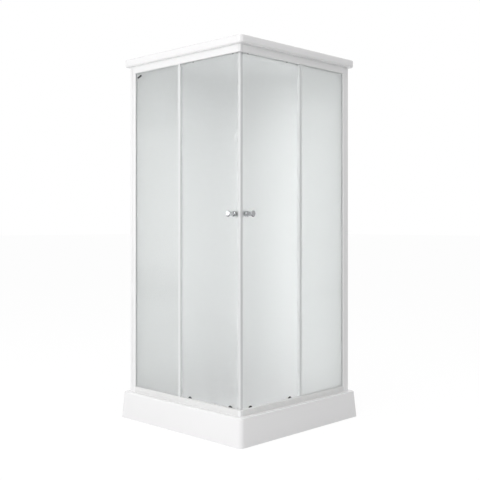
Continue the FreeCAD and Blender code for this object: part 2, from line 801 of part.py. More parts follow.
def make_rear_seal():
    """A channel on the door's rear edge, with a fin that closes against the fixed pane."""
    near = door_glass_distance - rear_seal_wall
    far = door_inner + rear_seal_wall
    front = door_rear - rear_seal_cover
    back = door_rear + rear_seal_wall
    foot, head = rail_top + fin_end_gap / 2, header_foot - fin_end_gap / 2
    channel = upright([(front, near), (back, near), (back, far), (front, far), (front, door_inner),
                       (door_rear, door_inner), (door_rear, door_glass_distance),
                       (front, door_glass_distance)], foot, head)
    fin_start = door_rear - rear_fin_setback
    fin = slab(fin_start, fin_start + fin_thickness, fixed_inner + rear_fin_gap, near, foot, head)
    return channel.fuse(fin).removeSplitter()


# ---- Rollers ----
def make_wheel(s, z):
    """A grooved wheel that runs on the track's rib."""
    near = track_rib_distance - wheel_width / 2
    far = track_rib_distance + wheel_width / 2
    bore = axle_radius + axle_gap
    return turned([(near, bore), (near, wheel_radius - wheel_edge), (near + wheel_edge, wheel_radius),
                   (track_rib_distance - wheel_groove_mouth, wheel_radius),
                   (track_rib_distance - wheel_groove_floor, running_radius),
                   (track_rib_distance + wheel_groove_floor, running_radius),
                   (track_rib_distance + wheel_groove_mouth, wheel_radius),
                   (far - wheel_edge, wheel_radius), (far, wheel_radius - wheel_edge), (far, bore)], s, z)


def make_axle(s, z):
    """A shouldered pin through the glass: stub for the cap, collar in the hole, flange, journal, head."""
    stub = door_glass_distance - cap_thickness + cap_skin + cap_stub_gap
    wheel_near = track_rib_distance - wheel_width / 2 - axle_end_play
    wheel_far = track_rib_distance + wheel_width / 2 + axle_end_play
    flange_end = wheel_near - axle_boss_length
    collar = door_glass_distance + axle_end_play
    return turned([(stub, 0), (stub, axle_radius), (collar, axle_radius),
                   (collar, axle_collar_radius), (door_inner, axle_collar_radius),
                   (door_inner, axle_flange_radius), (flange_end, axle_flange_radius),
                   (flange_end, axle_boss_radius), (wheel_near, axle_boss_radius), (wheel_near, axle_radius),
                   (wheel_far, axle_radius), (wheel_far, axle_head_radius),
                   (wheel_far + axle_head_length, axle_head_radius), (wheel_far + axle_head_length, 0)], s, z)


def make_cap(s, z):
    """The dark nut outside the glass, with its edge turned down in two cones."""
    front = door_glass_distance - cap_thickness
    bore = axle_radius + axle_gap
    return turned([(door_glass_distance, bore), (front + cap_skin, bore), (front + cap_skin, 0), (front, 0),
                   (front, cap_radius - cap_round), (front + cap_round / 3, cap_radius - cap_round / 3),
                   (front + cap_round, cap_radius),
                   (door_glass_distance, cap_radius)], s, z)


# ---- Knobs ----
def make_outer_knob():
    """A spool: a drum against the glass, a neck, and a body that flares to a crowned end."""
    seat = door_glass_distance - knob_washer
    neck_start = seat - knob_base_length
    neck_end = neck_start - knob_neck_length
    tip = seat - knob_length
    shoulder = tip + knob_tip_round + knob_crown
    bore = knob_stud_radius + knob_stud_gap
    half_neck = knob_neck_length / 2
    bend = knob_tip_round * (1 - math.sqrt(0.5))
    middle, drop = crown(knob_tip_radius - knob_tip_round, knob_crown)
    drum_end = knob_base_radius - knob_chamfer
    return turned([(seat, bore), (seat, drum_end), (seat - knob_chamfer, knob_base_radius),
                   (neck_start + knob_chamfer, knob_base_radius), (neck_start, drum_end),
                   (neck_start - half_neck, knob_neck_radius, neck_end, knob_waist_radius),
                   ((neck_end + shoulder) / 2, (knob_waist_radius + knob_tip_radius) / 2 - knob_hollow,
                    shoulder, knob_tip_radius),
                   (tip + knob_crown + bend, knob_tip_radius - bend,
                    tip + knob_crown, knob_tip_radius - knob_tip_round),
                   (tip + drop, middle, tip, 0),
                   (seat - knob_stud_depth, 0), (seat - knob_stud_depth, bore)], knob_distance, knob_height)


def make_inner_knob():
    """The low knob inside, short enough to pass the other door's knob at the corner."""
    seat = door_inner + knob_washer
    end = seat + inner_knob_length
    bore = knob_stud_radius + knob_stud_gap
    return turned([(seat, bore), (seat + inner_stud_depth, bore), (seat + inner_stud_depth, 0), (end, 0),
                   (end, inner_knob_radius - inner_knob_round),
                   (end - inner_knob_round / 3, inner_knob_radius - inner_knob_round / 3),
                   (end - inner_knob_round, inner_knob_radius),
                   (seat + inner_knob_taper, inner_knob_radius), (seat, knob_base_radius)],
                  knob_distance, knob_height)


def make_knob_fixings():
    """The stud that joins the two knobs, and a washer on each face of the glass."""
    outer = door_glass_distance - knob_washer - knob_stud_depth + knob_stud_end_gap
    inner = door_inner + knob_washer + inner_stud_depth - knob_stud_end_gap
    stud = drill(knob_distance, knob_height, outer, inner, knob_stud_radius)
    bore = knob_stud_radius + knob_stud_gap
    washers = []
    for face in (door_glass_distance - knob_washer, door_inner):
        end = face + knob_washer
        ring = drill(knob_distance, knob_height, face, end, knob_base_radius - knob_chamfer)
        washers.append(ring.cut(drill(knob_distance, knob_height, face - PAST, end + PAST, bore)))
    return [stud] + washers


# ---- Back walls ----
def back_bar(points, y_start, y_end):
    """A bar along the back wall at -X. Its section is drawn in depth from the outer face and height."""
    section = face_of(points, lambda depth, z: Vector(depth - frame_half, y_start, z))
    return section.extrude(Vector(0, y_end - y_start, 0))


def back_wall_span():
    return wall_profile_depth - frame_half, frame_half - back_corner_width


def make_back_channels():
    start, end = back_wall_span()
    inner = channel_wall + back_panel_thickness + 2 * channel_play
    outer = inner + channel_wall
    channels = []
    for face, inwards in ((rim, 1), (frame_top, -1)):
        web = face + inwards * channel_wall
        edge = face + inwards * channel_height
        channels.append(back_bar([(0, face), (outer, face), (outer, edge), (inner, edge), (inner, web),
                                  (channel_wall, web), (channel_wall, edge), (0, edge)], start, end))
    return channels


def make_back_panel():
    start, end = back_wall_span()
    near = channel_wall + channel_play
    far = near + back_panel_thickness
    foot, head = rim + channel_wall, frame_top - channel_wall
    return back_bar([(near, foot), (far, foot), (far, head), (near, head)], start, end + back_panel_bite)


def make_back_corner():
    """The rounded upright at the back corner, with a slot for each panel's edge."""
    def put(depth_left, depth_right):
        return Vector(depth_left - frame_half, frame_half - depth_right, rim)
    height = UP * (frame_top - rim)
    width = back_corner_width
    bend = back_corner_round * (1 - math.sqrt(0.5))
    bar = face_of([(back_corner_round, 0), (width, 0), (width, width), (0, width), (0, back_corner_round),
                   (bend, bend, back_corner_round, 0)], put).extrude(height)
    near = channel_wall + channel_play - slot_play
    far = near + back_panel_thickness + 2 * slot_play
    slot_end = width - back_panel_bite - slot_play
    slot = face_of([(near, slot_end), (far, slot_end), (far, width + PAST), (near, width + PAST)], put)
    slot = slot.extrude(height)
    chamber_start = far + back_corner_wall
    chamber_end = width - back_corner_wall
    chamber = face_of([(chamber_start, chamber_start), (chamber_end, chamber_start),
                       (chamber_end, chamber_end), (chamber_start, chamber_end)], put).extrude(height)
    return bar.cut(slot).cut(mirrored(slot)).cut(chamber)


# ---- Roof ----
def make_roof_cap():
    """The moulded roof: a shallow lid with rounded edges, stiffened by a grid of ribs."""
    half = frame_half + roof_overhang
    inner = half - roof_skin
    outside = Part.makeLoft([rounded_square(half, roof_corner_radius, frame_top),
                             rounded_square(half, roof_corner_radius, cabin_height)], True, True)
    outside = outside.makeFillet(roof_edge_radius, level_edges(outside, cabin_height))
    outside = outside.makeFillet(roof_foot_radius, level_edges(outside, frame_top))
    ceiling = cabin_height - roof_skin
    inside = Part.makeLoft([rounded_square(inner, roof_corner_radius - roof_skin, frame_top - PAST),
                            rounded_square(inner, roof_corner_radius - roof_skin, ceiling)], True, True)
    rib_foot = frame_top + liner_thickness
    count = int((inner - roof_corner_radius) / rib_pitch)
    for step in range(-count, count + 1):
        offset = step * rib_pitch
        rib = Part.makeBox(2 * inner, roof_rib_thickness, ceiling - rib_foot,
                           Vector(-inner, offset - roof_rib_thickness / 2, rib_foot))
        inside = inside.cut(rib)
        inside = inside.cut(rib.rotated(Vector(0, 0, 0), UP, 90))
    return outside.cut(inside)


def make_roof_liner():
    half = frame_half + roof_overhang - roof_skin - liner_gap
    radius = roof_corner_radius - roof_skin - liner_gap
    return Part.Face(rounded_square(half, radius, frame_top)).extrude(UP * liner_thickness)


# ---- Writing the pieces ----
def write(node, *solids):
    shape = solids[0] if len(solids) == 1 else Part.makeCompound(solids)
    shape.exportStep("parts/" + node + ".step")


def write_pair(node, *solids):
    """Writes a piece of the left side and its mirror image on the right side."""
    write(node + "_left", *solids)
    write(node + "_right", *[mirrored(solid) for solid in solids])


def write_both(node, *solids):
    """Writes the pieces of both sides into one node."""
    write(node, *solids, *[mirrored(solid) for solid in solids])


write("tray", make_tray())
write("tray_beams", *make_beams())
write("levelling_feet", *[make_foot(centre) for centre in foot_places()])
write("waste_flange", make_waste_flange())
write("waste_cover", make_waste_cover())
write("trap", make_trap())

write_pair("bottom_rail", make_rail())
write_pair("header", make_header())
write("bottom_corner", make_bottom_corner())
write("top_corner", make_top_corner())
write_both("groove_fillers", *make_fillers())

write_pair("wall_profile", make_wall_profile())
write_pair("stile", make_stile())
write_both("post_screws", *make_post_screws())

write("fixed_glass_left", make_fixed_glass(drilled=True))
write("fixed_glass_right", mirrored(make_fixed_glass(drilled=False)))
write_pair("glazing_gasket", make_gasket())
write_pair("fixed_seal", make_fixed_seal())
write("glass_clip", make_clip())
write_both("door_stops", make_stop())

write_pair("back_panel", make_back_panel())
write_both("back_channels", *make_back_channels())
write("back_corner", make_back_corner())
write("roof_cap", make_roof_cap())
write("roof_liner", make_roof_liner())

write_pair("door_glass", make_door_glass())
write_pair("door_edge_profile", make_edge_profile())
write_pair("door_magnet", make_magnet())
write_pair("door_rear_seal", make_rear_seal())
write_pair("outer_knob", make_outer_knob())
write_pair("inner_knob", make_inner_knob())
write_pair("knob_fixings", *make_knob_fixings())
write_pair("roller_caps", *[make_cap(s, z) for name, s, z in roller_places()])
write_pair("roller_axles", *[make_axle(s, z) for name, s, z in roller_places()])
for name, s, z in roller_places():
    write_pair("wheel_" + name, make_wheel(s, z))
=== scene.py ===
import math

import bmesh
import bpy
import numpy as np
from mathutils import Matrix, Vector


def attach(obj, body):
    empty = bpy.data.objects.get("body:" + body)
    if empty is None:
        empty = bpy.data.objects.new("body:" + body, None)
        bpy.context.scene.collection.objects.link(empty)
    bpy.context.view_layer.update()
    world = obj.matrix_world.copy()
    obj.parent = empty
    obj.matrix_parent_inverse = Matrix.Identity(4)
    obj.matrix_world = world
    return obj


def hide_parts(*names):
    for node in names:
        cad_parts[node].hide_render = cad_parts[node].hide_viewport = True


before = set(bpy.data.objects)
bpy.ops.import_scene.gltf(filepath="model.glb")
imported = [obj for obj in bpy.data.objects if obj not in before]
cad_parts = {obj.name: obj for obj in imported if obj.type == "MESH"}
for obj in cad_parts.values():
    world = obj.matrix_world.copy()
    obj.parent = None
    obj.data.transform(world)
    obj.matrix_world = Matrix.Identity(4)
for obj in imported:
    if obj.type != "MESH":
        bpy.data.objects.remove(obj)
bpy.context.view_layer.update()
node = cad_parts

# ---- The camera ----
# It stands level, a little above the knobs, and looks at the near corner from along the diagonal. The
# picture is shifted up slightly, as the photograph is, so that the tray has room below it.
viewpoint = bpy.data.cameras.new("camera")
viewpoint.sensor_width = 36.0
viewpoint.lens = 60.1
viewpoint.shift_y = -0.0342
camera = bpy.data.objects.new("camera", viewpoint)
camera.location = (3.0017, -3.0563, 1.029)
camera.rotation_euler = (math.radians(90), 0, math.radians(44.44))
bpy.context.scene.collection.objects.link(camera)
bpy.context.scene.camera = camera


# ---- The studio ----
# A pale floor without an edge in view, a white surround, soft lamps, and grey cards for the chrome to
# mirror. The strongest lamp faces the left side, so that the cabin's right side is a shade darker.
class Wire:
    """An output of a material's nodes. A sum written with it adds the Math nodes that work it out."""

    def __init__(self, tree, socket):
        self.tree = tree
        self.socket = socket

    def node(self, kind, settings=None, sockets=None, output=0):
        """Adds a node: its settings are made first, then its sockets get their values or their links."""
        made = self.tree.nodes.new(kind)
        for name, value in (settings or {}).items():
            setattr(made, name, value)
        for name, value in (sockets or {}).items():
            if isinstance(value, Wire):
                self.tree.links.new(value.socket, made.inputs[name])
            else:
                made.inputs[name].default_value = value
        return Wire(self.tree, made.outputs[output])

    def sum(self, operation, first, second=0.0):
        """One Math node, or one Vector Math node where the first value is a vector."""
        if isinstance(first, Wire) and first.socket.type == "VECTOR":
            if isinstance(second, (int, float)):
                second = (second, second, second)
            return self.node("ShaderNodeVectorMath", {"operation": operation}, {0: first, 1: second})
        return self.node("ShaderNodeMath", {"operation": operation}, {0: first, 1: second})

    def __add__(self, other):
        return self.sum("ADD", self, other)

    def __radd__(self, other):
        return self.sum("ADD", self, other)

    def __sub__(self, other):
        return self.sum("SUBTRACT", self, other)

    def __rsub__(self, other):
        return self.sum("SUBTRACT", other, self)

    def __mul__(self, other):
        return self.sum("MULTIPLY", self, other)

    def __rmul__(self, other):
        return self.sum("MULTIPLY", self, other)

    def __abs__(self):
        return self.sum("ABSOLUTE", self)

    def greatest(self, other):
        return self.sum("MAXIMUM", self, other)

    def least(self, other):
        return self.sum("MINIMUM", self, other)

    def step(self, low, high):
        """0 below low, 1 above high and a smooth rise between them."""
        return self.node("ShaderNodeMapRange", {"interpolation_type": "SMOOTHSTEP"},
                         {"Value": self, "From Min": low, "From Max": high})

    def between(self, first, second):
        """The first colour where this is 0, the second where it is 1."""
        return self.node("ShaderNodeMix", {"data_type": "RGBA"}, {0: self, 6: first, 7: second}, 2)

    def noise(self, size, detail=2.0, roughness=0.5):
        """Soft grain on this place, from 0 to 1, whose grains are about size metres across."""
        return self.node("ShaderNodeTexNoise", None,
                         {"Vector": self, "Scale": 1 / size, "Detail": detail, "Roughness": roughness})

    def axis(self, name):
        """One coordinate of this place."""
        return self.node("ShaderNodeSeparateXYZ", None, {0: self}, "XYZ".index(name))


def blank(owner):
    """Empties a material's or world's nodes, and gives the wire that others start from and the output."""
    owner.use_nodes = True
    tree = owner.node_tree
    tree.nodes.clear()
    kind = "ShaderNodeOutputWorld" if isinstance(owner, bpy.types.World) else "ShaderNodeOutputMaterial"
    start = tree.nodes.new("ShaderNodeTexCoord")
    return Wire(tree, start.outputs["Object"]), tree.nodes.new(kind).inputs["Surface"]


def seen(wire):
    """1 for the rays that show the surround: from the camera, or on from a mirror or through glass."""
    path = wire.tree.nodes.new("ShaderNodeLightPath")
    rays = [Wire(wire.tree, path.outputs[name])
            for name in ("Is Camera Ray", "Is Glossy Ray", "Is Transmission Ray")]
    return rays[0].greatest(rays[1]).greatest(rays[2])


def make_surround(soft_light):
    """A world that lights the cabin with that strength, and shows as white."""
    surround = bpy.data.worlds.new("surround")
    bpy.context.scene.world = surround
    wire, surface = blank(surround)
    strength = soft_light + (1 - soft_light) * seen(wire)
    shader = wire.node("ShaderNodeBackground", None, {"Color": (1, 1, 1, 1), "Strength": strength})
    surround.node_tree.links.new(shader.socket, surface)


def flat_sheet(name, width, height):
    """An object of one level face, centred on its own origin."""
    mesh = bpy.data.meshes.new(name)
    corners = np.array([(-1, -1, 0), (1, -1, 0), (1, 1, 0), (-1, 1, 0)]) * (width / 2, height / 2, 0)
    mesh.from_pydata(corners, [], [(0, 1, 2, 3)])
    sheet = bpy.data.objects.new(name, mesh)
    bpy.context.scene.collection.objects.link(sheet)
    return sheet


def make_floor(width, shade, glow, kept_shadow):
    """A level floor. The rays that show it see its white glow, mixed with the given share of the lit
    paper, so that the cabin's shadow stays faint."""
    floor = flat_sheet("studio_floor", width, width)
    paper = bpy.data.materials.new("studio_paper")
    wire, surface = blank(paper)
    lit = wire.node("ShaderNodeBsdfDiffuse", None, {"Color": (shade, shade, shade, 1)})
    white = wire.node("ShaderNodeEmission", None, {"Color": (1, 1, 1, 1), "Strength": glow})
    both = wire.node("ShaderNodeMixShader", None, {0: seen(wire) * (1 - kept_shadow), 1: lit, 2: white})
    paper.node_tree.links.new(both.socket, surface)
    floor.data.materials.append(paper)


def hang_lamp(name, place, target, width, height, power):
    """A soft lamp, as wide and high as given, that hangs at a place and faces its target."""
    lamp = bpy.data.lights.new(name, "AREA")
    lamp.shape = "RECTANGLE"
    lamp.size = width
    lamp.size_y = height
    lamp.energy = power
    hung = bpy.data.objects.new(name, lamp)
    hung.location = place
    hung.rotation_euler = (Vector(target) - Vector(place)).to_track_quat("-Z", "Y").to_euler()
    bpy.context.scene.collection.objects.link(hung)


def stand_card(name, shade, centre, target, width, height, fade=0.6):
    """A grey card that only mirrors see, so that the chrome has more than white to show. It fades out
    towards its edges, so that no glossy face shows a line where it ends."""
    card = flat_sheet(name, width, height)
    card.location = centre
    card.rotation_euler = (Vector(target) - Vector(centre)).to_track_quat("Z", "Y").to_euler()
    felt = bpy.data.materials.new(name)
    wire, surface = blank(felt)
    matt = wire.node("ShaderNodeBsdfDiffuse", None, {"Color": (shade, shade, shade, 1)})
    clear = wire.node("ShaderNodeBsdfTransparent")
    from_edge = (width / 2 - abs(wire.axis("X"))).least(height / 2 - abs(wire.axis("Y")))
    faded = wire.node("ShaderNodeMixShader", None, {0: from_edge.step(0.0, fade), 1: clear, 2: matt})
    felt.node_tree.links.new(faded.socket, surface)
    card.data.materials.append(felt)
    card.visible_camera = card.visible_diffuse = card.visible_transmission = card.visible_shadow = False


make_surround(soft_light=0.58)
make_floor(width=120.0, shade=0.62, glow=1.1, kept_shadow=0.16)
stand_card("low_left_card", 0.15, (0.5, -1.72, 0.6), (0.5, -1.72, 1.0), 4.0, 2.6)
stand_card("low_right_card", 0.15, (1.72, 0.54, 0.6), (1.72, 0.54, 1.0), 2.6, 1.92)
stand_card("high_card", 0.45, (0.9, -0.9, 3.4), (0.9, -0.9, 0.0), 9.0, 9.0)
stand_card("back_card", 0.75, (2.6, 3.0, 1.1), (0.4, -0.4, 1.1), 5.0, 4.4)
hang_lamp("front_lamp", (0.9, -4.6, 1.8), (0, 0, 1.0), 3.0, 3.0, 88.0)
hang_lamp("left_lamp", (-3.2, -3.9, 1.3), (0.4, -0.4, 1.1), 2.2, 1.5, 17.0)
hang_lamp("right_lamp", (4.7, 0.4, 2.6), (0, 0, 1.0), 2.5, 2.5, 10.0)
hang_lamp("top_lamp", (0.6, -0.6, 5.0), (0, 0, 0), 3.0, 3.0, 50.0)
bpy.context.scene.view_settings.view_transform = "Standard"


# ---- Shower tray ----
# Vacuum-formed white acrylic with a flared skirt, a level rim, and a basin whose floor falls to the
# waste. Under it is the chopped-glass resin that stiffens it, with a board moulded in. A notch in the
# back of the skirt lets the waste pipe out.
rim = 0.135
tray_skin = 0.004
skirt_foot, skirt_top, skirt_corner = 0.450, 0.4395, 0.025
basin_top, basin_foot, basin_corner = 0.361, 0.349, 0.060
floor_reach, underside_reach = 0.333, 0.330
rim_start, rim_end = 0.370, 0.427
floor_edge, waste_level, seat_level, tray_underside = 0.075, 0.068, 0.0655, 0.060
# Each bend, lip and hem is how far back from its edge the rounding starts.
basin_bend, basin_lip, skirt_bend, skirt_hem = 0.0131, 0.0038, 0.0058, 0.0008
skirt_inner_bend, basin_inner_bend = 0.003, 0.004
waste_centre = (-0.170, 0.170)
waste_hole, waste_seat = 0.045, 0.0575
waste_corner_angle = math.radians(24.0)
resin_fade = 0.0006
notch_low, notch_high, notch_corner = (-0.200, 0.357, -0.010), (-0.140, 0.470, 0.062), 0.015
crease_angle = math.radians(32.0)


def rings(half, height, centre, roundness=0.0, radius=0.0, arc_steps=10, side_steps=14):
    """Level outlines, one to a row. Each is a square of that half width, whose corners are arcs round
    points as far out as centre says. By its roundness, from 0 to 1, each of its points moves in a
    straight line to a circle of that radius round the waste."""
    rows = np.broadcast_arrays(*np.atleast_1d(half, height, centre, roundness, radius))
    half, height, centre, roundness, radius = (np.asarray(row, float)[:, None, None, None] for row in rows)
    quarter = np.radians(90.0 * np.arange(4))[None, :, None]
    turn = quarter + np.radians(np.linspace(0, 90, arc_steps + 1))
    signs = np.stack([np.cos(quarter) - np.sin(quarter), np.sin(quarter) + np.cos(quarter)], -1)
    arcs = signs * centre + (half - centre) * np.stack([np.cos(turn), np.sin(turn)], -1)
    share = np.linspace(0, 1, side_steps + 1)[1:-1][None, None, :, None]
    sides = arcs[:, :, -1:] * (1 - share) + np.roll(arcs, -1, axis=1)[:, :, :1] * share
    square = np.concatenate([arcs, sides], axis=2)
    in_corner = np.linspace(-waste_corner_angle / 2, waste_corner_angle / 2, arc_steps + 1)
    on_side = waste_corner_angle / 2 + (math.pi / 2 - waste_corner_angle) * share[0, 0, :, 0]
    around = quarter + math.pi / 4 + np.concatenate([in_corner, on_side])
    circle = np.array(waste_centre) + radius * np.stack([np.cos(around), np.sin(around)], -1)
    flat = square * (1 - roundness) + circle * roundness
    level = np.broadcast_to(height, flat.shape[:-1] + (1,))
    return np.concatenate([flat, level], axis=-1).reshape(len(flat), -1, 3)


def parabola(start, corner, end, share):
    """The place at that share of the way from start to end, on a curve whose two end tangents meet at
    corner: a blend of the three, weighted with (1 - share) squared, twice share (1 - share), and share
    squared."""
    return (1 - share) ** 2 * start + 2 * share * (1 - share) * corner + share ** 2 * end


def eased(rows, closed=True, steps=4):
    """An outline with its corners rounded. The last value of each row is its reach: a parabola runs from
    a point that far before the corner to one that far after it, but never past the middle of a side.
    Sides are measured in the first two values, and any others follow. An open outline keeps its ends."""
    rows = np.asarray(rows, float)
    corners, reach = rows[:, :-1], rows[:, -1:]
    back = np.roll(corners, 1, axis=0) - corners
    on = np.roll(corners, -1, axis=0) - corners
    back_length, on_length = (np.linalg.norm(way[:, :2], axis=1, keepdims=True) for way in (back, on))
    reach = np.minimum(reach, 0.48 * np.minimum(back_length, on_length))
    share = np.linspace(0, 1, steps + 1)[None, :, None]
    start = (corners + back / back_length * reach)[:, None]
    end = (corners + on / on_length * reach)[:, None]
    bends = parabola(start, corners[:, None], end, share)
    if closed:
        return bends.reshape(-1, corners.shape[1])
    middle = bends[1:-1].reshape(-1, corners.shape[1])
    return np.concatenate([corners[:1], middle, corners[-1:]])


def joined(shape, wrap_rows):
    """The corner numbers of the four-sided faces between neighbours in a grid whose columns close up."""
    index = np.arange(shape[0] * shape[1]).reshape(shape[:2])
    index = np.concatenate([index, index[:, :1]], axis=1)
    if wrap_rows:
        index = np.concatenate([index, index[:1]])
    corners = [index[:-1, :-1], index[:-1, 1:], index[1:, 1:], index[1:, :-1]]
    return np.stack(corners, axis=-1).reshape(-1, 4)


def clean_mesh(name, points, faces):
    """A mesh whose doubled points are merged and whose faces are turned outwards."""
    mesh = bpy.data.meshes.new(name)
    mesh.from_pydata(points, [], faces)
    solid = bmesh.new()
    solid.from_mesh(mesh)
    bmesh.ops.remove_doubles(solid, verts=solid.verts, dist=1e-6)
    bmesh.ops.dissolve_degenerate(solid, edges=solid.edges, dist=1e-7)
    bmesh.ops.recalc_face_normals(solid, faces=solid.faces)
    solid.to_mesh(mesh)
    solid.free()
    return mesh


def piece(name, grids, body, stands_for, finish, wrap_rows=False, capped=True):
    """Makes one piece of grids of points. Every grid is closed round its columns, and a capped one gets a
    flat face at its first and last row. Edges sharper than the crease angle stay sharp."""
    points, faces, count = [], [], 0
    for grid in grids:
        rows, columns = grid.shape[:2]
        points.append(grid.reshape(-1, 3))
        faces += (joined(grid.shape, wrap_rows) + count).tolist()
        if capped:
            faces.append(list(range(count, count + columns)))
            faces.append(list(range(count + (rows - 1) * columns, count + rows * columns)))
        count += rows * columns
    mesh = clean_mesh(name, np.concatenate(points), faces)
    mesh.shade_smooth()
    mesh.set_sharp_from_angle(angle=crease_angle)
    made = bpy.data.objects.new(name, mesh)
    bpy.context.scene.collection.objects.link(made)
    mesh.materials.append(finish)
    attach(made, body)
    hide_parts(*stands_for)
    return made


def finish_of(name, build):
    """A material: build gets the wire of the place on the piece, and gives the shader's sockets."""
    made = bpy.data.materials.new(name)
    place, surface = blank(made)
    shader = place.node("ShaderNodeBsdfPrincipled", None, build(place))
    made.node_tree.links.new(shader.socket, surface)
    return made


def bumped(height, depth):
    """The normal of a surface whose height, from 0 to 1, stands for that depth in metres."""
    return height.node("ShaderNodeBump", None, {"Height": height, "Strength": 1.0, "Distance": depth})


def tinted(wire, middle, spread):
    """A colour that goes from a little darker to a little lighter than the middle one."""
    darker = tuple(channel * (1 - spread) for channel in middle) + (1.0,)
    lighter = tuple(min(channel * (1 + spread), 1.0) for channel in middle) + (1.0,)
    return wire.between(darker, lighter)


def outside_column(place, half, radius, lean=0.0):
    """How far a place is outside a square column with rounded corners, whose half width is half on the
    floor and shrinks by lean for each metre of height. Inside it is below 0."""
    outwards = (abs(place) + place.axis("Z") * lean - (half - radius)).greatest(0.0) * (1, 1, 0)
    return outwards.node("ShaderNodeVectorMath", {"operation": "LENGTH"}, {0: outwards}, 1) - radius


def tray_acrylic(place):
    """Glossy white acrylic with the faint ripple of forming, and grey-white resin and glass under it. The
    resin lies within the skirt, below the rim, and outside the basin's wall or below its floor."""
    def behind(depth):
        """1 where a place is that deep behind a face, past the middle of the skin, and 0 in front."""
        return (depth - tray_skin / 2).step(0.0, resin_fade)

    height = place.axis("Z")
    skirt_lean = (skirt_foot - skirt_top) / rim
    wall_lean = (basin_top - basin_foot) / (rim - floor_edge)
    wall_on_floor = basin_foot - floor_edge * wall_lean
    in_skirt = behind(0 - outside_column(place, skirt_foot, skirt_corner, skirt_lean))
    past_wall = behind(outside_column(place, wall_on_floor, basin_corner, -wall_lean))
    resin = in_skirt * behind(rim - height) * past_wall.greatest(behind(waste_level - height))
    strands = place.noise(0.0035, 3.0, 0.65)
    white = tinted(place.noise(0.35), (0.905, 0.900, 0.905), 0.012)
    grey = tinted(strands.step(0.35, 0.65), (0.66, 0.65, 0.60), 0.14)
    return {
        "Base Color": resin.between(white, grey),
        "Roughness": 0.16 + place.noise(0.12) * 0.05 + resin * 0.4,
        "Normal": bumped(place.noise(0.09, 1.0) * 0.35 + resin * strands, 0.0006),
        "Coat Weight": 0.25 * (1 - resin),
    }


acrylic = finish_of("tray_acrylic", tray_acrylic)


def make_tray(floor_steps=8):
    """The tray cut through in half width and height, carried round its rounded square. The cut runs from
    the floor up the basin's wall, over the rim, down the skirt, back under the basin and up the waste."""
    floor_centre, basin_centre = basin_foot - basin_corner, basin_top - basin_corner
    hem_centre, skirt_centre = skirt_foot - skirt_corner, skirt_top - skirt_corner
    cut = eased([
        (floor_reach, floor_edge, floor_centre, 0),
        (basin_foot, floor_edge, floor_centre, basin_bend),
        (basin_top, rim, basin_centre, basin_lip),
        (rim_start, rim, basin_centre, 0),
        (rim_end, rim, skirt_centre, 0),
        (skirt_top, rim, skirt_centre, skirt_bend),
        (skirt_foot, 0.0, hem_centre, skirt_hem),
        (skirt_foot - tray_skin, 0.0, hem_centre, skirt_hem),
        (skirt_top - tray_skin, rim - tray_skin, skirt_centre, skirt_inner_bend),
        (basin_top + tray_skin, rim - tray_skin, basin_centre, basin_inner_bend),
        (basin_foot + tray_skin, tray_underside, floor_centre, basin_inner_bend),
        (underside_reach, tray_underside, floor_centre, 0),
    ], closed=False, steps=7)
    shell = rings(*cut.T)
    waste = rings(0.0, [tray_underside, seat_level, seat_level, waste_level], 0.0, 1.0,
                  [waste_hole, waste_hole, waste_seat, waste_seat])
    share = np.linspace(1, 0, floor_steps + 1)[1:-1]
    fall = floor_edge - (floor_edge - waste_level) * share
    floor = rings(floor_reach, fall, floor_centre, share, waste_seat)
    return np.concatenate([shell, waste, floor])


def cut_away(made, low, high, corner):
    """Cuts an upright box with rounded upper edges out of a piece, right through its skirt."""
    across = eased([(low[0], low[2], 0), (high[0], low[2], 0),
                    (high[0], high[2], corner), (low[0], high[2], corner)], steps=8)
    ends = [np.insert(across, 1, y, axis=1) for y in (low[1], high[1])]
    columns = len(across)
    faces = joined((2, columns), False).tolist() + [list(range(columns)), list(range(columns, 2 * columns))]
    cutter = bpy.data.objects.new("cutter", clean_mesh("cutter", np.concatenate(ends), faces))
    bpy.context.scene.collection.objects.link(cutter)
    cut = made.modifiers.new("notch", "BOOLEAN")
    cut.operation = "DIFFERENCE"
    cut.object = cutter
    notched = made.evaluated_get(bpy.context.evaluated_depsgraph_get())
    result = bpy.data.meshes.new_from_object(notched)
    made.modifiers.clear()
    made.data = result
    bpy.data.objects.remove(cutter)


tray = piece("tray_shell", [make_tray()], "root", ["tray"], acrylic,
             wrap_rows=True, capped=False)
cut_away(tray, notch_low, notch_high, notch_corner)


# ---- Beams and feet under the tray ----
# Bright zinc-plated steel: two box beams and a cross beam under the resin, each foot a pad on a stud
# with a lock nut against the beam. The plating shows as a faint spangle.
def dress(finish, *names):
    """Gives CAD nodes their finish. Their shapes stay as they are."""
    for name in names:
        for held in node[name].material_slots:
            held.material = finish


def zinc_plate(place):
    """Bright zinc, with its spangle and a fine grain."""
    spangle = place.noise(0.006, 3.0, 0.6)
    return {
        "Base Color": tinted(spangle.step(0.3, 0.7), (0.58, 0.60, 0.62), 0.10),
        "Metallic": 1.0,
        "Roughness": 0.30 + spangle * 0.16,
        "Normal": bumped(place.noise(0.002), 0.00003),
    }


dress(finish_of("zinc_plate", zinc_plate), "tray_beams", "levelling_feet", "post_screws")


# ---- Waste and trap ----
# A chrome-plated waste flange and its lift-out cover, over a flat bottle trap of white polypropylene
# that is clamped up under the tray. Its outlet points to the notch at the back.
def chrome_plate(place):
    """Mirror chrome with the faint haze of polishing and of fingers."""
    haze = place.noise(0.012, 3.0, 0.6)
    return {
        "Base Color": tinted(haze, (0.60, 0.61, 0.62), 0.015),
        "Metallic": 1.0,
        "Roughness": 0.06 + haze.step(0.45, 0.8) * 0.06,
        "Normal": bumped(place.noise(0.010, 1.0), 0.00002),
    }


